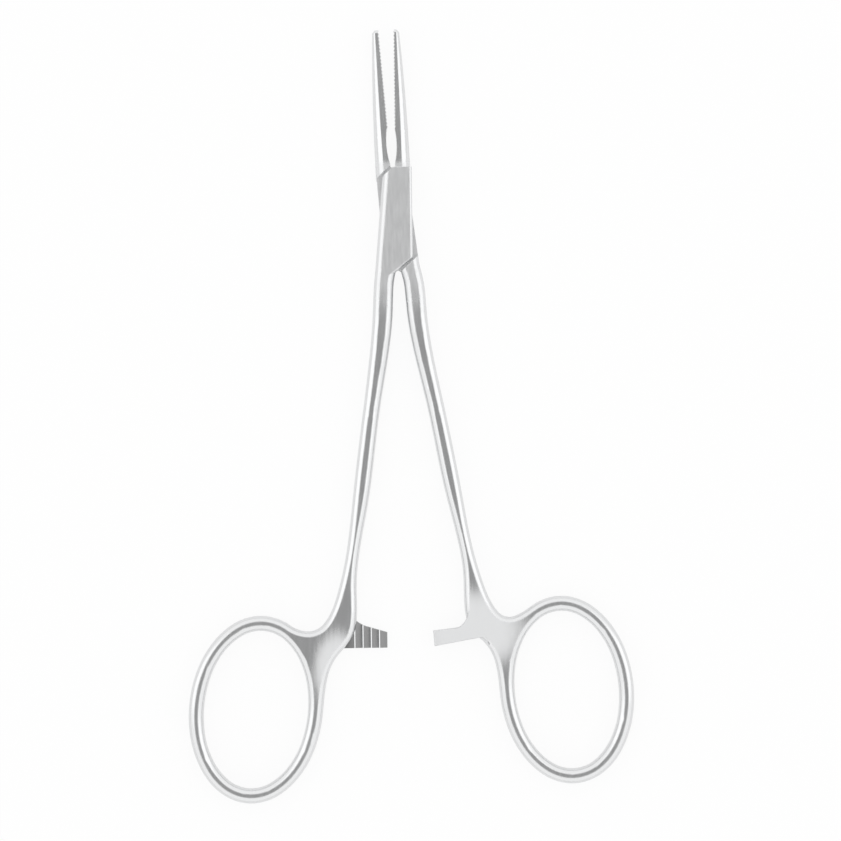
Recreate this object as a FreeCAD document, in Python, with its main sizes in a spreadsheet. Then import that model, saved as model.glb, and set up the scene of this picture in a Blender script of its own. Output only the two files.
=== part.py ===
"""Straight mosquito forceps with a box lock, ring handles and a ratchet, as a parametric document.

The forceps lie flat with the jaws towards +Y. The pin's axis is the Z axis and the underside of the
lock is Z = 0. Each arm is drawn closed, with its jaw on +u and its handle on -u, and is then turned
about the pin by its lean. The box arm has u along +X, and the tongue arm has u along -X.
"""
import FreeCAD, Part
import math
import os

import Sketcher

from FreeCAD import Vector

SIZES = {
    "lock_thickness": 4.2,
    "lock_slope_deg": 38.0,
    "lock_edge_round": 0.4,
    "lock_chamfer": 0.25,
    "lock_shoulder": 8.35,
    "cheek_reach": 6.7,
    "tongue_thickness": 1.4,
    "tongue_play": 0.03,
    "shoulder_play": 0.12,
    "pin_radius": 1.0,
    "pin_head_radius": 1.25,
    "pin_head_depth": 0.45,
    "pin_play": 0.02,
    "jaw_reach": 30.6,
    "jaw_nose": 0.4,
    "jaw_root": 6.4,
    "jaw_root_width": 2.55,
    "jaw_root_land": 1.15,
    "jaw_root_thickness": 3.3,
    "jaw_waist": 15.0,
    "jaw_waist_width": 2.15,
    "jaw_waist_land": 1.0,
    "jaw_waist_thickness": 2.7,
    "jaw_tip_width": 0.95,
    "jaw_tip_land": 0.45,
    "jaw_tip_thickness": 1.5,
    "jaw_gap_closed": 0.04,
    "serration_start": 14.6,
    "serration_pitch": 0.6,
    "serration_depth": 0.16,
    "eye_start": 8.9,
    "eye_depth": 0.3,
    "crotch_gap": 0.16,
    "shank_top": 10.5,
    "shank_top_width": 3.5,
    "shank_neck": 15.0,
    "shank_neck_width": 3.2,
    "shank_waist": 29.5,
    "shank_waist_width": 2.7,
    "shank_calf": 45.8,
    "shank_calf_width": 2.55,
    "shank_foot": 19.0,
    "shank_foot_width": 2.95,
    "handle_thickness": 3.1,
    "taper_start": 8.0,
    "taper_end": 32.0,
    "edge_round": 1.0,
    "ring_hole_length": 25.6,
    "ring_hole_width": 16.8,
    "ring_band": 2.4,
    "root_rise": 10.5,
    "root_width": 5.8,
    "ratchet_rise": 0.5,
    "ratchet_height": 2.5,
    "ratchet_blend": 2.6,
    "ratchet_pitch": 1.33,
    "ratchet_teeth": 4,
    "ratchet_depth": 0.5,
    "box_lean_deg": 0.7,
    "box_jaw_side": 2.72,
    "box_handle_side_top": 2.0,
    "box_handle_side": 3.2,
    "box_neck_offset": 2.22,
    "box_waist_offset": 4.07,
    "box_calf_offset": 6.25,
    "box_foot_offset": 8.5,
    "box_ankle_offset": 8.1,
    "box_root_offset": 12.35,
    "box_ring_offset": 23.5,
    "box_ring_drop": 79.0,
    "box_ring_tilt_deg": 6.9,
    "box_ratchet_tip": -2.15,
    "box_ratchet_fall": 0.0,
    "box_ratchet_shoulder": 3.5,
    "box_ratchet_blend_rise": 2.6,
    "tongue_lean_deg": 5.4,
    "tongue_jaw_side": 2.45,
    "tongue_handle_side_top": 2.5,
    "tongue_handle_side": 3.1,
    "tongue_neck_offset": 2.02,
    "tongue_waist_offset": 3.47,
    "tongue_calf_offset": 5.3,
    "tongue_foot_offset": 6.95,
    "tongue_ankle_offset": 6.1,
    "tongue_root_offset": 10.2,
    "tongue_ring_offset": 20.4,
    "tongue_ring_drop": 78.3,
    "tongue_ring_tilt_deg": 1.4,
    "tongue_ratchet_tip": 0.2,
    "tongue_ratchet_fall": 0.7,
    "tongue_ratchet_shoulder": 1.9,
    "tongue_ratchet_blend_rise": 3.6,
}

doc = FreeCAD.newDocument("MosquitoForceps")
sheet = doc.addObject("Spreadsheet::Sheet", "Sizes")
for row, (alias, value) in enumerate(SIZES.items(), start=1):
    sheet.set(f"A{row}", alias)
    sheet.set(f"B{row}", str(value))
    sheet.setAlias(f"B{row}", alias)
doc.recompute()


def size(alias):
    """Reads one driving size from the sheet, in millimetres or degrees."""
    return float(sheet.get(alias))


def flip(arm):
    """Which way the jaw side of an arm points along X when the forceps are closed."""
    return 1 if arm == "box" else -1


def at(arm, u, v, z=0.0):
    """A point of the closed arm from its own u, v coordinates."""
    return Vector(flip(arm) * u, v, z)


def slope_normal():
    """The unit normal, in u and v, of the lock's slanted edges, which points up to the handle side."""
    slope = math.radians(size("lock_slope_deg"))
    return -math.sin(slope), math.cos(slope)


def v_on_slope(u, reach):
    """Where the slanted line at this distance from the pin passes a given u."""
    across, along = slope_normal()
    return (reach - across * u) / along


def u_on_slope(v, reach):
    """Where the slanted line at this distance from the pin passes a given v."""
    across, along = slope_normal()
    return (reach - along * v) / across


def smooth(arm, points, start, end):
    """A smooth edge through u, v points, with the given directions at its two ends."""
    curve = Part.BSplineCurve()
    curve.interpolate(
        Points=[at(arm, *p) for p in points],
        InitialTangent=at(arm, *start).normalize(),
        FinalTangent=at(arm, *end).normalize(),
        Scale=False,
    )
    return arcs(curve)


def arcs(curve):
    """The same curve as a chain of tangent arcs, as an outline is drawn and milled."""
    return [arc.toShape() for arc in curve.toBiArcs(ARC_TOLERANCE)]


def line(arm, start, end):
    return Part.makeLine(at(arm, *start), at(arm, *end))


class Ring:
    """An ellipse of the finger ring in u, v, measured by its own angle from its upper jaw-side end."""

    def __init__(self, arm, grow):
        self.arm = arm
        self.centre = (-size(f"{arm}_ring_offset"), -size(f"{arm}_ring_drop"))
        self.half_length = size("ring_hole_length") / 2 + grow
        self.half_width = size("ring_hole_width") / 2 + grow
        self.tilt = math.radians(size(f"{arm}_ring_tilt_deg"))

    def turned(self, across, along):
        cos, sin = math.cos(self.tilt), math.sin(self.tilt)
        return across * cos + along * sin, -across * sin + along * cos

    def point(self, angle_deg):
        angle = math.radians(angle_deg)
        u, v = self.turned(self.half_width * math.cos(angle), self.half_length * math.sin(angle))
        return self.centre[0] + u, self.centre[1] + v

    def direction(self, angle_deg):
        angle = math.radians(angle_deg)
        return self.turned(-self.half_width * math.sin(angle), self.half_length * math.cos(angle))

    def arc(self, start_deg, end_deg):
        """The edge of the ellipse from one angle to another, as one exact arc."""
        centre = at(self.arm, *self.centre)
        far = at(self.arm, *self.point(90))
        side = at(self.arm, *self.point(0))
        ellipse = Part.Ellipse(far, side, centre)
        begin = ellipse.parameter(at(self.arm, *self.point(start_deg)))
        middle = ellipse.parameter(at(self.arm, *self.point((start_deg + end_deg) / 2)))
        finish = ellipse.parameter(at(self.arm, *self.point(end_deg)))
        turn = 2 * math.pi
        if (middle - begin) % turn > (finish - begin) % turn:
            begin, finish = finish, begin
        return arcs(Part.ArcOfEllipse(ellipse, begin, finish).toBSpline())

    def whole(self):
        far = at(self.arm, *self.point(90))
        side = at(self.arm, *self.point(0))
        return arcs(Part.Ellipse(far, side, at(self.arm, *self.centre)).toBSpline())


ARC_TOLERANCE = 0.02
WEB_INNER_DEG = -6
WEB_OUTER_DEG = 68
CLEAR = 60.0


def prism(wire_or_edges, low, high):
    """A solid between two heights over an outline that lies at height 0."""
    face = Part.Face(Part.Wire(Part.__sortEdges__(wire_or_edges)))
    face.translate(Vector(0, 0, low))
    return face.extrude(Vector(0, 0, high - low))


def polygon(arm, points):
    return [line(arm, a, b) for a, b in zip(points, points[1:] + points[:1])]


def crotch(reach):
    """Where the two shanks part, just under the lock."""
    u = -size("crotch_gap") / 2
    return u, -v_on_slope(-u, reach)


def lock_reach(arm):
    """How far the slanted ends of the cheeks, or of the tongue between the end walls, lie from the pin."""
    if arm == "box":
        return size("cheek_reach")
    return wall_reach() - size("tongue_play")


def wall_reach():
    """How far the slot's end walls lie from the pin, so that they meet the cheeks' edge at the crotch."""
    return size("cheek_reach") + size("crotch_gap") * math.sin(math.radians(size("lock_slope_deg")))


def handle_outline(arm):
    """The outline of the handle side of the lock, the shank, the ring's root and the ring."""
    reach = lock_reach(arm)
    shoulder = size("lock_shoulder")
    top_side = -size(f"{arm}_handle_side_top")
    low_side = -size(f"{arm}_handle_side")
    ring = Ring(arm, size("ring_band"))
    root_u, root_v = -size(f"{arm}_root_offset"), ring.centre[1] + size("root_rise")
    inside, outside = [], []
    for place in ("neck", "waist", "calf", "foot"):
        middle, half = -size(f"{arm}_{place}_offset"), size(f"shank_{place}_width") / 2
        v = ring.centre[1] + size("shank_foot") if place == "foot" else -size(f"shank_{place}")
        inside.append((middle + half, v))
        outside.append((middle - half, v))
    root_half = size("root_width") / 2 * math.sqrt(0.5)
    crotch_u, crotch_v = crotch(reach)

    top_left = (top_side, v_on_slope(top_side, reach))
    top_middle = (u_on_slope(shoulder, reach), shoulder)
    top_right = (size("edge_round"), shoulder)
    low_right = (size("edge_round"), -shoulder / 2)
    low_left = (low_side, -reach)
    inner = [
        low_right,
        (crotch_u, crotch_v),
        *inside,
        (-size(f"{arm}_ankle_offset"), root_v + size("ratchet_rise")),
        (root_u + root_half, root_v - root_half),
        ring.point(WEB_INNER_DEG),
    ]
    outer = [
        ring.point(WEB_OUTER_DEG),
        (root_u - root_half, root_v + root_half),
        *reversed(outside),
        (crotch_u - size("shank_top_width"), -size("shank_top")),
        low_left,
    ]
    inner_end = [-d for d in ring.direction(WEB_INNER_DEG)]
    outer_start = [-d for d in ring.direction(WEB_OUTER_DEG)]
    side = (top_left[0] - low_left[0], top_left[1] - low_left[1])
    return [
        line(arm, top_left, top_middle),
        line(arm, top_middle, top_right),
        line(arm, top_right, low_right),
        *smooth(arm, inner, (0, -1), inner_end),
        *ring.arc(WEB_INNER_DEG, WEB_OUTER_DEG - 360),
        *smooth(arm, outer, outer_start, side),
        line(arm, low_left, top_left),
    ]


def lock_outline(arm):
    """The outline of the jaw side of the lock, which overlaps the handle side."""
    reach = lock_reach(arm)
    shoulder = size("lock_shoulder")
    jaw_side = size(f"{arm}_jaw_side")
    inside = size("edge_round")
    inset_low = (-inside * 1.5, -v_on_slope(inside * 1.5, reach))
    inset_top = (u_on_slope(shoulder, reach) / 2, shoulder)
    return polygon(
        arm,
        [
            inset_top,
            (jaw_side, shoulder),
            (jaw_side, -v_on_slope(-jaw_side, reach)),
            inset_low,
        ],
    )


def side_view(arm):
    """The side view of lock, shank and ring: thick at the lock, then thinner down the shank."""
    lock = size("lock_thickness") / 2
    flat = size("handle_thickness") / 2
    start, end = -size("taper_start"), -size("taper_end")
    bottom = -size(f"{arm}_ring_drop") - size("ring_hole_length")
    middle = (start + end) / 2
    tapers = []
    for side in (1, -1):
        curve = Part.BezierCurve()
        poles = [(start, lock), (middle, lock), (middle, flat), (end, flat)]
        curve.setPoles([Vector(0, v, side * z) for v, z in poles])
        tapers.append(curve.toShape())
    upper = [(start, -lock), (CLEAR, -lock), (CLEAR, lock), (start, lock)]
    lower = [(end, flat), (bottom, flat), (bottom, -flat), (end, -flat)]
    for run in (upper, lower):
        tapers += [Part.makeLine(Vector(0, *a), Vector(0, *b)) for a, b in zip(run, run[1:])]
    face = Part.Face(Part.Wire(Part.__sortEdges__(tapers)))
    face.translate(Vector(-CLEAR, 0, 0))
    return face.extrude(Vector(2 * CLEAR, 0, 0))


def rounded(solid, outline, radius):
    """A flat solid with its upper and lower edges rounded where they run above the given outline."""
    edges = []
    for edge in solid.Edges:
        middle = edge.valueAt((edge.FirstParameter + edge.LastParameter) / 2)
        across = abs(edge.tangentAt((edge.FirstParameter + edge.LastParameter) / 2).z) < 0.5
        foot = Part.Vertex(middle.x, middle.y, 0)
        on_outline = min(curve.distToShape(foot)[0] for curve in outline) < 0.001
        if on_outline and across:
            edges.append(edge)
    return solid.makeFillet(radius, edges)


def handle(arm):
    """Shank, ring root and ring with the handle side of the lock, with rounded edges."""
    outline = handle_outline(arm)
    hole = Ring(arm, 0).whole()
    thick = size("lock_thickness")
    blank = prism(outline, -thick, thick).cut(prism(hole, -2 * thick, 2 * thick))
    blank = blank.common(side_view(arm))
    radius = min(size("edge_round"), 0.48 * size("handle_thickness"), 0.46 * size("ring_band"))
    return rounded(blank.Solids[0], outline[3:] + hole, radius)


def jaw_section(arm, depth, width, land, thickness):
    """The jaw's section: a flat land beside the other jaw, and a quarter of an ellipse above and below."""
    bulge = 0.5523
    w, h, r = width, thickness / 2, width - land
    inside = -w / 3
    edges = [
        Part.makeLine(at(arm, inside, depth, -h), at(arm, land, depth, -h)),
        Part.makeLine(at(arm, land, depth, h), at(arm, inside, depth, h)),
        Part.makeLine(at(arm, inside, depth, h), at(arm, inside, depth, -h)),
    ]
    for poles in (
        [(land, -h), (land + bulge * r, -h), (w, -bulge * h), (w, 0)],
        [(w, 0), (w, bulge * h), (land + bulge * r, h), (land, h)],
    ):
        curve = Part.BezierCurve()
        curve.setPoles([at(arm, u, depth, z) for u, z in poles])
        edges.append(curve.toShape())
    return Part.Wire(Part.__sortEdges__(edges))


def jaw_face(arm):
    """What is cut off a jaw's blank: everything past its toothed face, its eye and its root."""
    gap = size("jaw_gap_closed") / 2
    start, pitch = size("serration_start"), size("serration_pitch")
    end = size("jaw_reach") + 1
    back = -size("jaw_root_width")
    eye_start = size("eye_start")
    eye = Part.Arc(
        at(arm, gap, eye_start),
        at(arm, gap + size("eye_depth"), (eye_start + start) / 2),
        at(arm, gap, start),
    )
    zigzag = [(gap, start)]
    count = int((end - start) / pitch)
    for tooth in range(count):
        middle = start + (tooth + 0.5) * pitch
        inward = size("serration_depth") if arm == "box" else -size("serration_depth")
        zigzag += [(gap + inward, middle), (gap, start + (tooth + 1) * pitch)]
    corners = [zigzag[-1], (back, zigzag[-1][1]), (back, 0), (gap, 0), (gap, eye_start)]
    path = zigzag + corners[1:]
    edges = [line(arm, a, b) for a, b in zip(path, path[1:])] + [eye.toShape()]
    tall = size("lock_thickness")
    return prism(edges, -tall, tall)


def jaw(arm):
    """A half-round jaw that tapers to its tip, with crosswise teeth on the face that grips."""
    root, waist, reach = size("jaw_root"), size("jaw_waist"), size("jaw_reach")
    nose = size("jaw_nose")
    root_end, waist_end, tip_end = [
        (size(f"jaw_{place}_width"), size(f"jaw_{place}_land"), size(f"jaw_{place}_thickness"))
        for place in ("root", "waist", "tip")
    ]
    body = Part.makeLoft(
        [
            jaw_section(arm, root, *root_end),
            jaw_section(arm, waist, *waist_end),
            jaw_section(arm, reach - nose, *tip_end),
        ],
        True,
        False,
    )
    blunt = [tip_end[0] - nose, tip_end[1] * (1 - nose / tip_end[0]), tip_end[2] - nose]
    tip = Part.makeLoft(
        [jaw_section(arm, reach - nose, *tip_end), jaw_section(arm, reach, *blunt)],
        True,
        True,
    )
    return body.fuse(tip).cut(jaw_face(arm))


def ratchet(arm):
    """The ratchet's bar: it reaches towards the other arm, with its teeth on the face that meets it."""
    height, blend, depth = size("ratchet_height"), size("ratchet_blend"), size("ratchet_depth")
    tip, pitch = size(f"{arm}_ratchet_tip"), size("ratchet_pitch")
    count = int(size("ratchet_teeth"))
    level = -size(f"{arm}_ring_drop") + size("root_rise") + size("ratchet_rise")
    top, bottom = level + height / 2, level - height / 2
    root = -size(f"{arm}_root_offset") + size("root_width") / 2
    ankle = -size(f"{arm}_ankle_offset")
    shoulder = (ankle + blend, bottom + size(f"{arm}_ratchet_shoulder"))
    fall, rise = size(f"{arm}_ratchet_fall"), size(f"{arm}_ratchet_blend_rise")
    slope = ((tip - shoulder[0]), (top - fall - shoulder[1]))
    upper_blend = smooth(arm, [(ankle, shoulder[1] + rise), shoulder], (0.1, -1), slope)
    lower_blend = smooth(arm, [(root - blend / 2, bottom - blend / 2), (root, bottom)], (0.5, 1), (1, 0))
    outline = [
        *upper_blend,
        line(arm, shoulder, (tip, top - fall)),
        line(arm, (tip, top - fall), (tip, bottom - fall)),
        line(arm, (tip, bottom - fall), (root, bottom)),
        *lower_blend,
        line(arm, (root - blend / 2, bottom - blend / 2), (ankle, shoulder[1] + rise)),
    ]
    facing = 1 if arm == "box" else -1
    outer = -facing * size("handle_thickness") / 2
    crest = facing * depth / 2
    bar = prism(outline, min(outer, crest), max(outer, crest))
    above, beyond = crest + facing * depth, tip + pitch / 4
    teeth = [(beyond, above), (tip - count * pitch, above), (tip - count * pitch, crest)]
    for tooth in range(count, 0, -1):
        end = tip - (tooth - 1) * pitch
        teeth += [(end, crest - facing * depth), (end, crest)]
    teeth[-1] = (beyond, crest - facing * depth)
    corners = [at(arm, u, bottom - height, z) for u, z in teeth]
    face = Part.Face(Part.makePolygon(corners + corners[:1]))
    bar = bar.cut(face.extrude(Vector(0, 3 * height, 0)))
    return bar.Solids[0]


def level_edges(block, on_line):
    """The upper and lower edges of a flat block whose two ends both pass a test."""
    level = [e for e in block.Edges if abs(e.Vertexes[0].Z - e.Vertexes[-1].Z) < 1e-6]
    return [e for e in level if all(on_line(v.Point) for v in e.Vertexes)]


def cheeks():
    """The jaw side of the box: its long edge is rounded, and its slanted end is chamfered."""
    thick = size("lock_thickness") / 2
    jaw_side, reach = size("box_jaw_side"), lock_reach("box")
    across, along = slope_normal()
    block = prism(lock_outline("box"), -thick, thick)
    slanted = level_edges(block, lambda p: abs(across * p.x + along * p.y + reach) < 1e-6)
    block = block.makeChamfer(size("lock_chamfer"), slanted)
    side = level_edges(block, lambda p: abs(p.x - jaw_side) < 1e-6)
    return block.makeFillet(size("lock_edge_round"), side)


def tongue():
    thick = size("tongue_thickness") / 2
    return prism(lock_outline("tongue"), -thick, thick)


def forging(arm):
    """One arm as it is forged, in one piece from jaw to ring, before the lock is cut."""
    middle = cheeks() if arm == "box" else tongue()
    arm_handle = handle(arm).Solids[0]
    if arm == "tongue":
        arm_handle = arm_handle.common(tongue_room())
    return arm_handle.fuse([middle, jaw(arm), ratchet(arm)]).removeSplitter()


def tongue_room():
    """All of the space below the lock's middle, and only the tongue's own layer above it."""
    wide = 2 * CLEAR
    below = Part.makeBox(2 * wide, wide, wide, Vector(-wide, -wide, -wide / 2))
    layer = size("tongue_thickness")
    return below.fuse(Part.makeBox(2 * wide, wide, layer, Vector(-wide, 0, -layer / 2)))


def blank(name, arm):
    """A document object that holds an arm's forging."""
    shape = forging(arm)
    feature = doc.addObject("Part::Feature", name)
    feature.Shape = shape.Solids[0]
    return feature


def bind(item, **expressions):
    """Drives properties of a document object by sizes in the sheet."""
    for name, expression in expressions.items():
        item.setExpression(name.replace("__", "."), expression)


def slanted_box(name, side, half_width, thickness, bottom):
    """A long box along the lock's slanted edges; side is 1 or -1 for the way it leans."""
    box = doc.addObject("Part::Box", name)
    box.Placement.Rotation = FreeCAD.Rotation(Vector(0, 0, 1), 30)
    turn = f"{side} * Sizes.lock_slope_deg * 1 deg"
    half_length = "1.5 * Sizes.lock_shoulder * 1 mm"
    bind(
        box,
        Length=f"2 * {half_length}",
        Width=f"2 * ({half_width}) * 1 mm",
        Height=f"({thickness}) * 1 mm",
        Placement__Rotation__Angle=turn,
        Placement__Base__x=f"-({half_length}) * cos({turn}) + ({half_width}) * 1 mm * sin({turn})",
        Placement__Base__y=f"-({half_length}) * sin({turn}) - ({half_width}) * 1 mm * cos({turn})",
        Placement__Base__z=f"({bottom}) * 1 mm",
    )
    return box


def fused(name, shapes):
    union = doc.addObject("Part::MultiFuse", name)
    union.Shapes = shapes
    return union


def leaning(name, base, tool, turn):
    """The finished arm, lifted so that the lock's underside is Z = 0 and turned by its lean."""
    arm = doc.addObject("Part::Cut", name)
    arm.Label = name
    arm.Base = base
    arm.Tool = tool
    doc.recompute()
    arm.Placement = FreeCAD.Placement(Vector(0, 0, 1), FreeCAD.Rotation(Vector(0, 0, 1), 1))
    bind(
        arm,
        Placement__Rotation__Angle=turn,
        Placement__Base__z="Sizes.lock_thickness / 2 * 1 mm",
    )
    return arm


WALL = "(Sizes.cheek_reach + Sizes.crotch_gap * sin(Sizes.lock_slope_deg * 1 deg))"

slot = slanted_box(
    "Slot",
    -1,
    WALL,
    "Sizes.tongue_thickness + 2 * Sizes.tongue_play",
    "-Sizes.tongue_thickness / 2 - Sizes.tongue_play",
)
rivet_hole = doc.addObject("Part::Cylinder", "RivetHole")
bind(
    rivet_hole,
    Radius="Sizes.pin_radius * 1 mm",
    Height="Sizes.lock_thickness * 1 mm",
    Placement__Base__z="-Sizes.lock_thickness / 2 * 1 mm",
)
sinks = []
for name, side in (("UpperSink", 1), ("LowerSink", -1)):
    sink = doc.addObject("Part::Cone", name)
    narrow, wide = "Sizes.pin_radius * 1 mm", "Sizes.pin_head_radius * 1 mm"
    level = "Sizes.lock_thickness / 2 * 1 mm"
    bind(
        sink,
        Radius1=narrow if side > 0 else wide,
        Radius2=wide if side > 0 else narrow,
        Height="Sizes.pin_head_depth * 1 mm",
        Placement__Base__z=f"{level} - Sizes.pin_head_depth * 1 mm" if side > 0 else f"-{level}",
    )
    sinks.append(sink)
box_cutters = fused("BoxCutters", [slot, rivet_hole] + sinks)
box_arm = leaning("box_arm", blank("BoxForging", "box"), box_cutters, "Sizes.box_lean_deg * 1 deg")

cheek_rooms = [
    slanted_box(
        name,
        1,
        "Sizes.cheek_reach + Sizes.shoulder_play",
        "Sizes.lock_thickness",
        bottom,
    )
    for name, bottom in (
        ("UpperCheekRoom", "Sizes.tongue_thickness / 2"),
        ("LowerCheekRoom", "-Sizes.tongue_thickness / 2 - Sizes.lock_thickness"),
    )
]
bore = doc.addObject("Part::Cylinder", "PinBore")
bind(
    bore,
    Radius="(Sizes.pin_radius + Sizes.pin_play) * 1 mm",
    Height="Sizes.lock_thickness * 1 mm",
    Placement__Base__z="-Sizes.lock_thickness / 2 * 1 mm",
)
tongue_cutters = fused("TongueCutters", cheek_rooms + [bore])
tongue_arm = leaning(
    "tongue_arm", blank("TongueForging", "tongue"), tongue_cutters, "Sizes.tongue_lean_deg * 1 deg"
)

pin = doc.addObject("PartDesign::Body", "lock_pin")
pin.Label = "lock_pin"
profile = pin.newObject("Sketcher::SketchObject", "PinProfile")
front = [plane for plane in pin.Origin.OriginFeatures if plane.Role == "XZ_Plane"][0]
profile.AttachmentSupport = [(front, "")]
profile.MapMode = "FlatFace"
tall = size("lock_thickness")
deep, thin, broad = size("pin_head_depth"), size("pin_radius"), size("pin_head_radius")
outline = [
    (0, 0),
    (broad, 0),
    (thin, deep),
    (thin, tall - deep),
    (broad, tall),
    (0, tall),
]
for (x1, y1), (x2, y2) in zip(outline, outline[1:] + outline[:1]):
    profile.addGeometry(Part.LineSegment(Vector(x1, y1, 0), Vector(x2, y2, 0)), False)
count = len(outline)
for edge in range(count):
    profile.addConstraint(Sketcher.Constraint("Coincident", edge, 2, (edge + 1) % count, 1))
profile.addConstraint(Sketcher.Constraint("Coincident", 0, 1, -1, 1))
for edge in (0, 4):
    profile.addConstraint(Sketcher.Constraint("Horizontal", edge))
for edge in (2, 5):
    profile.addConstraint(Sketcher.Constraint("Vertical", edge))
for first, point, second, other, kind, expression in (
    (0, 1, 0, 2, "DistanceX", "Sizes.pin_head_radius * 1 mm"),
    (5, 2, 1, 2, "DistanceX", "Sizes.pin_radius * 1 mm"),
    (5, 1, 4, 1, "DistanceX", "Sizes.pin_head_radius * 1 mm"),
    (0, 2, 1, 2, "DistanceY", "Sizes.pin_head_depth * 1 mm"),
    (2, 2, 3, 2, "DistanceY", "Sizes.pin_head_depth * 1 mm"),
    (0, 1, 4, 2, "DistanceY", "Sizes.lock_thickness * 1 mm"),
):
    placed = {"DistanceX": broad, "DistanceY": deep}[kind]
    where = profile.addConstraint(Sketcher.Constraint(kind, first, point, second, other, placed))
    profile.setExpression(f"Constraints[{where}]", expression)
turned = pin.newObject("PartDesign::Revolution", "PinTurned")
turned.Profile = profile
turned.ReferenceAxis = (profile, ["V_Axis"])
turned.Angle = 360
doc.recompute()

finished = {"box_arm": box_arm, "tongue_arm": tongue_arm, "lock_pin": pin}
for item in doc.Objects:
    if any(word in item.State for word in ("Invalid", "Error")):
        raise RuntimeError(f"{item.Name} did not build: {item.State}")
for name, item in finished.items():
    if item.Shape.isNull() or not item.Shape.isValid() or len(item.Shape.Solids) != 1:
        raise RuntimeError(f"{name} is not one sound solid")

os.makedirs("parts", exist_ok=True)
for name, item in finished.items():
    item.Shape.exportStep(os.path.join("parts", f"{name}.step"))
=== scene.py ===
import bpy
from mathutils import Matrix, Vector

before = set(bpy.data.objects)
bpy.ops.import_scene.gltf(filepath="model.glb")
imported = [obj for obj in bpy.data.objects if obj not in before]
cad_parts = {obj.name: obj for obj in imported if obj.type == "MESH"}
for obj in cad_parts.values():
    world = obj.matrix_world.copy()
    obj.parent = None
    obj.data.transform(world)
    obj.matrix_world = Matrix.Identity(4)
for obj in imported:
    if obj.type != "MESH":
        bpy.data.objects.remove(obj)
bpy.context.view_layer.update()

MM = 0.001

# View: the forceps lie flat and the camera looks straight down, from far off
MM_PER_PIXEL = 0.1616
FRAME_PIXELS = 841
PIVOT_PIXEL = (395.5, 219.0)
MID_HEIGHT = 2.1 * MM
CAMERA_HEIGHT = 0.9
SENSOR_WIDTH = 36.0
CLIP_RANGE = (0.01, 20.0)

# Steel: colours, and the roughness of each finish
STEEL = (0.78, 0.785, 0.79)
PIN_STEEL = (0.77, 0.775, 0.78)
# Painted shade: a dark colour on the ratchet's tooth faces, standing in for the shade in the grooves
# between the teeth
TOOTH_PAINTED_SHADE = (0.3, 0.3, 0.3)
POLISHED = 0.17
GROUND = 0.315
BRUSHED = 0.56
MILLED = 0.5
GRAIN = 0.025
GRAIN_BUMP = 0.004 * MM
POLISH_WAVE = 0.08 * MM
GRAIN_SCALE = 2600.0
GRAIN_STRETCH = (1.0, 0.12, 1.0)
GRAIN_VALUES = (0.3, 0.7)
WAVE_SCALE = 220.0
EDGE_SAMPLES = 6

# Where the finishes are, along the forceps from the lock pin
LOCK_FLAT_TO_JAWS = (8.4 * MM, 10.0 * MM)
LOCK_FLAT_TO_SHANKS = (-8.0 * MM, -21.0 * MM)
BOX_ROOT = {"middle": (-9.4 * MM, -73.0 * MM), "reach": (5.0 * MM, 8.5 * MM)}
TONGUE_ROOT = {"middle": (12.2 * MM, -66.4 * MM), "reach": (11.5 * MM, 8.8 * MM)}
# The ratchet's teeth get a milled roughness and a painted shade
TEETH_ACROSS = (-9.6 * MM, 12.5 * MM)
TEETH_ALONG = (-70.2 * MM, -63.2 * MM)
TOOTH_DEPTH = 0.5 * MM
TOOTH_REACH = 0.6 * TOOTH_DEPTH
CREST_HEIGHT = 0.36 * TOOTH_DEPTH
LOCK_EDGE = 0.12 * MM
HANDLE_EDGE = 0.34 * MM
HANDLE_START = (-9.0 * MM, -16.0 * MM)
PIN_HEAD = (1.5 * MM, 1.8 * MM)
PATCH_FADE = (0.35, 1.0)

# How far up or down a face has to look, as the height of its normal
ROOT_FACE = (0.95, 0.995)
TOOTH_FACE = 0.5
BAR_FACE = 0.98

# Studio
FLOOR_COLOUR = (0.9, 0.9, 0.9)
FLOOR_WHITE_TO_CAMERA = 0.9
FLOOR_WHITE_IN_METAL = 0.4
FLOOR_ROUGHNESS = 0.9
FLOOR_SIZE = 4.0
ROOM_FILL = 1.0
ROOM_BRIGHT = 1.06
ROOM_OVERHEAD = 0.34
OVERHEAD_REACH = (0.23, 0.26)
OVERHEAD_FADE = (0.75, 1.3)
HORIZON_BRIGHT = 0.7
HORIZON_TOP = 0.3
LAMP_ASIDE = 0.6
LAMP_AHEAD = 0.1
LAMP_HEIGHT = 0.75
LAMP_SIZE = (0.4, 1.0)
LAMP_WATTS = 0.3


def node(tree, kind, **inputs):
    """Adds a shader node and sets its plain inputs, named with _ for each space."""
    made = tree.nodes.new(kind)
    for name, value in inputs.items():
        made.inputs[name.replace("_", " ")].default_value = value
    return made


def maths(tree, operation, *values):
    """Adds a maths node whose values are numbers or other nodes' outputs, and returns its output."""
    made = tree.nodes.new("ShaderNodeMath")
    made.operation = operation
    for socket, value in zip(made.inputs, values):
        if isinstance(value, (int, float)):
            socket.default_value = value
        else:
            tree.links.new(value, socket)
    return made.outputs["Value"]


def product(tree, *values):
    """The product of several values."""
    result = values[0]
    for value in values[1:]:
        result = maths(tree, "MULTIPLY", result, value)
    return result


def spread(tree, value, low, high, to_low, to_high):
    """Maps a value smoothly from one range to another, and holds it at both ends."""
    made = node(tree, "ShaderNodeMapRange", From_Min=low, From_Max=high, To_Min=to_low, To_Max=to_high)
    made.interpolation_type = "SMOOTHSTEP"
    tree.links.new(value, made.inputs["Value"])
    return made.outputs["Result"]


def within(tree, value, low, high):
    """One inside a range of a value, and nought outside it."""
    return product(tree, maths(tree, "GREATER_THAN", value, low), maths(tree, "LESS_THAN", value, high))


def distance(tree, first, second):
    """The length of two values taken as the sides of a right angle."""
    squares = maths(tree, "ADD", product(tree, first, first), product(tree, second, second))
    return maths(tree, "SQRT", squares)


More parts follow.
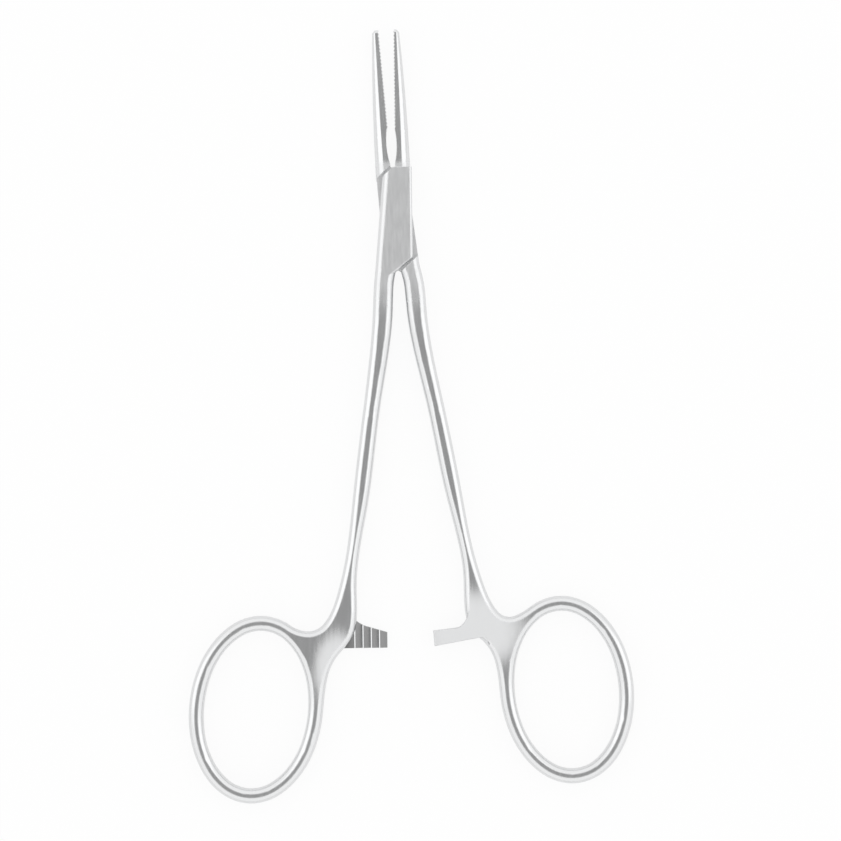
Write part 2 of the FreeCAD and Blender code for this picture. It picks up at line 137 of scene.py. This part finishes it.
def patch(tree, place, middle, reach):
    """One at the middle of an oval patch, fading softly to nought at its reach."""
    across = maths(tree, "DIVIDE", maths(tree, "SUBTRACT", place["X"], middle[0]), reach[0])
    along = maths(tree, "DIVIDE", maths(tree, "SUBTRACT", place["Y"], middle[1]), reach[1])
    return spread(tree, distance(tree, across, along), *PATCH_FADE, 1, 0)


def milled_and_shaded_teeth(tree, place, facing, up):
    """One on the faces of the ratchet's teeth, apart from a line along each crest: the mask for their
    milled roughness and for their painted shade, which leaves the crests in the plain steel colour.
    """
    height = maths(tree, "SUBTRACT", place["Z"], MID_HEIGHT)
    across = within(tree, place["X"], *TEETH_ACROSS)
    along = within(tree, place["Y"], *TEETH_ALONG)
    level = within(tree, height, -TOOTH_REACH, TOOTH_REACH)
    bar = product(tree, across, along, level, maths(tree, "GREATER_THAN", up, TOOTH_FACE))
    rise = product(tree, height, facing["Z"])
    below_crest = maths(tree, "LESS_THAN", rise, CREST_HEIGHT)
    behind_teeth = maths(tree, "GREATER_THAN", up, BAR_FACE)
    return bar, product(tree, bar, maths(tree, "MAXIMUM", below_crest, behind_teeth))


def surface(tree, coordinates):
    """Fine grain and the slow waves of hand polishing, over edges that are slightly broken."""
    link = tree.links.new
    stretch = node(tree, "ShaderNodeMapping", Scale=GRAIN_STRETCH)
    grain = node(tree, "ShaderNodeTexNoise", Scale=GRAIN_SCALE, Detail=4.0, Roughness=0.6)
    waves = node(tree, "ShaderNodeTexNoise", Scale=WAVE_SCALE, Detail=1.0)
    link(coordinates, stretch.inputs["Vector"])
    link(stretch.outputs["Vector"], grain.inputs["Vector"])
    link(coordinates, waves.inputs["Vector"])
    edge = node(tree, "ShaderNodeBevel")
    edge.samples = EDGE_SAMPLES
    wave_bump = node(tree, "ShaderNodeBump", Strength=0.5, Distance=POLISH_WAVE)
    grain_bump = node(tree, "ShaderNodeBump", Strength=0.3, Distance=GRAIN_BUMP)
    link(edge.outputs["Normal"], wave_bump.inputs["Normal"])
    link(waves.outputs["Fac"], wave_bump.inputs["Height"])
    link(wave_bump.outputs["Normal"], grain_bump.inputs["Normal"])
    link(grain.outputs["Fac"], grain_bump.inputs["Height"])
    return grain.outputs["Fac"], edge.inputs["Radius"], grain_bump.outputs["Normal"]


def steel(name, colour, toothed):
    """Stainless steel: polished round forms, a ground lock, brushed roots and any milled ratchet, whose
    tooth faces are darkened with painted shade.
    """
    material = bpy.data.materials.new(name)
    material.use_nodes = True
    tree = material.node_tree
    link = tree.links.new
    shader = tree.nodes["Principled BSDF"]
    shader.inputs["Metallic"].default_value = 1.0
    coordinates = node(tree, "ShaderNodeTexCoord")
    place = node(tree, "ShaderNodeSeparateXYZ")
    facing = node(tree, "ShaderNodeSeparateXYZ")
    link(coordinates.outputs["Object"], place.inputs["Vector"])
    link(coordinates.outputs["Normal"], facing.inputs["Vector"])
    place, facing = place.outputs, facing.outputs
    up = maths(tree, "ABSOLUTE", facing["Z"])
    lock = product(
        tree,
        spread(tree, place["Y"], *LOCK_FLAT_TO_JAWS, 1, 0),
        spread(tree, place["Y"], *reversed(LOCK_FLAT_TO_SHANKS), 0, 1),
    )
    roots = maths(tree, "MAXIMUM", patch(tree, place, **BOX_ROOT), patch(tree, place, **TONGUE_ROOT))
    brushed = product(tree, roots, spread(tree, up, *ROOT_FACE, 0, 1))
    grain, edge_radius, normal = surface(tree, coordinates.outputs["Object"])
    roughness = spread(tree, lock, 0, 1, POLISHED, GROUND)
    roughness = maths(tree, "MULTIPLY_ADD", brushed, BRUSHED - POLISHED, roughness)
    roughness = maths(tree, "ADD", roughness, spread(tree, grain, *GRAIN_VALUES, -GRAIN, GRAIN))
    link(normal, shader.inputs["Normal"])
    pin_head = spread(tree, distance(tree, place["X"], place["Y"]), *PIN_HEAD, 0, 1)
    edge = spread(tree, place["Y"], *reversed(HANDLE_START), HANDLE_EDGE, LOCK_EDGE)
    edge = product(tree, edge, pin_head)
    shader.inputs["Base Color"].default_value = (*colour, 1)
    if toothed:
        bar, milled_and_shaded = milled_and_shaded_teeth(tree, place, facing, up)
        edge = product(tree, edge, maths(tree, "SUBTRACT", 1, bar))
        roughness = maths(tree, "MULTIPLY_ADD", milled_and_shaded, MILLED - POLISHED, roughness)
        # Painted shade: the tooth faces below the crests are darkened, standing in for the shade in the
        # ratchet's grooves
        painted_tooth_shade = tree.nodes.new("ShaderNodeMixRGB")
        painted_tooth_shade.inputs["Color1"].default_value = (*colour, 1)
        painted_tooth_shade.inputs["Color2"].default_value = (*TOOTH_PAINTED_SHADE, 1)
        link(milled_and_shaded, painted_tooth_shade.inputs["Fac"])
        link(painted_tooth_shade.outputs["Color"], shader.inputs["Base Color"])
    link(edge, edge_radius)
    link(roughness, shader.inputs["Roughness"])
    return material


arm_steel = steel("ArmSteel", STEEL, toothed=True)
pin_steel = steel("PinSteel", PIN_STEEL, toothed=False)
for name, material in (("box_arm", arm_steel), ("tongue_arm", arm_steel), ("lock_pin", pin_steel)):
    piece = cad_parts[name]
    piece.data.materials.clear()
    piece.data.materials.append(material)


def floor_material():
    """White to the camera and pale in reflections, with the object's soft shadow kept."""
    material = bpy.data.materials.new("FloorPaint")
    material.use_nodes = True
    tree = material.node_tree
    link = tree.links.new
    paint = tree.nodes["Principled BSDF"]
    paint.inputs["Base Color"].default_value = (*FLOOR_COLOUR, 1)
    paint.inputs["Roughness"].default_value = FLOOR_ROUGHNESS
    path = node(tree, "ShaderNodeLightPath").outputs
    seen = maths(tree, "MAXIMUM", path["Is Camera Ray"], path["Is Transmission Ray"])
    seen = maths(tree, "MULTIPLY", seen, FLOOR_WHITE_TO_CAMERA)
    share = maths(tree, "MULTIPLY_ADD", path["Is Glossy Ray"], FLOOR_WHITE_IN_METAL, seen)
    white = node(tree, "ShaderNodeEmission", Color=(1, 1, 1, 1), Strength=1.0)
    choose = node(tree, "ShaderNodeMixShader")
    link(share, choose.inputs[0])
    link(paint.outputs[0], choose.inputs[1])
    link(white.outputs[0], choose.inputs[2])
    link(choose.outputs[0], tree.nodes["Material Output"].inputs["Surface"])
    return material


bpy.ops.mesh.primitive_plane_add(size=FLOOR_SIZE, location=(0, 0, 0))
floor = bpy.context.object
floor.name = "Floor"
floor.data.materials.append(floor_material())


def studio_world():
    """A white room, dark only where the camera hangs overhead, which polished steel mirrors."""
    world = bpy.data.worlds.new("Studio")
    bpy.context.scene.world = world
    world.use_nodes = True
    tree = world.node_tree
    link = tree.links.new
    sky = tree.nodes["Background"]
    sky.inputs["Color"].default_value = (1, 1, 1, 1)
    coordinates = node(tree, "ShaderNodeTexCoord")
    place = node(tree, "ShaderNodeSeparateXYZ")
    link(coordinates.outputs["Generated"], place.inputs["Vector"])
    place = place.outputs
    across = maths(tree, "DIVIDE", place["X"], OVERHEAD_REACH[0])
    along = maths(tree, "DIVIDE", place["Y"], OVERHEAD_REACH[1])
    overhead = spread(tree, distance(tree, across, along), *OVERHEAD_FADE, ROOM_OVERHEAD, ROOM_BRIGHT)
    room = product(tree, overhead, spread(tree, place["Z"], 0.0, HORIZON_TOP, HORIZON_BRIGHT, 1))
    path = node(tree, "ShaderNodeLightPath").outputs
    seen = maths(tree, "MAXIMUM", path["Is Camera Ray"], path["Is Transmission Ray"])
    other = maths(tree, "SUBTRACT", 1, maths(tree, "MAXIMUM", seen, path["Is Glossy Ray"]))
    strength = maths(tree, "MULTIPLY_ADD", path["Is Glossy Ray"], room, seen)
    link(maths(tree, "MULTIPLY_ADD", other, ROOM_FILL, strength), sky.inputs["Strength"])


studio_world()


def softbox(name, place, target):
    """A rectangular area lamp that faces a target point."""
    lamp = bpy.data.lights.new(name, "AREA")
    lamp.shape = "RECTANGLE"
    lamp.size, lamp.size_y = LAMP_SIZE
    lamp.energy = LAMP_WATTS
    holder = bpy.data.objects.new(name, lamp)
    bpy.context.scene.collection.objects.link(holder)
    holder.location = place
    aim = Vector(target) - Vector(place)
    holder.rotation_euler = aim.to_track_quat("-Z", "Y").to_euler()


centre_x = (FRAME_PIXELS / 2 - PIVOT_PIXEL[0]) * MM_PER_PIXEL * MM
centre_y = -(FRAME_PIXELS / 2 - PIVOT_PIXEL[1]) * MM_PER_PIXEL * MM
target = (centre_x, centre_y, MID_HEIGHT)
softbox("LeftBox", (centre_x - LAMP_ASIDE, centre_y + LAMP_AHEAD, LAMP_HEIGHT), target)
softbox("RightBox", (centre_x + LAMP_ASIDE, centre_y + LAMP_AHEAD, LAMP_HEIGHT), target)

camera_data = bpy.data.cameras.new("Camera")
camera = bpy.data.objects.new("Camera", camera_data)
bpy.context.scene.collection.objects.link(camera)
camera_data.sensor_width = SENSOR_WIDTH
camera_data.lens = SENSOR_WIDTH * CAMERA_HEIGHT / (FRAME_PIXELS * MM_PER_PIXEL * MM)
camera_data.clip_start, camera_data.clip_end = CLIP_RANGE
camera.location = (centre_x, centre_y, MID_HEIGHT + CAMERA_HEIGHT)
bpy.context.scene.camera = camera
bpy.context.scene.view_settings.view_transform = "Standard"
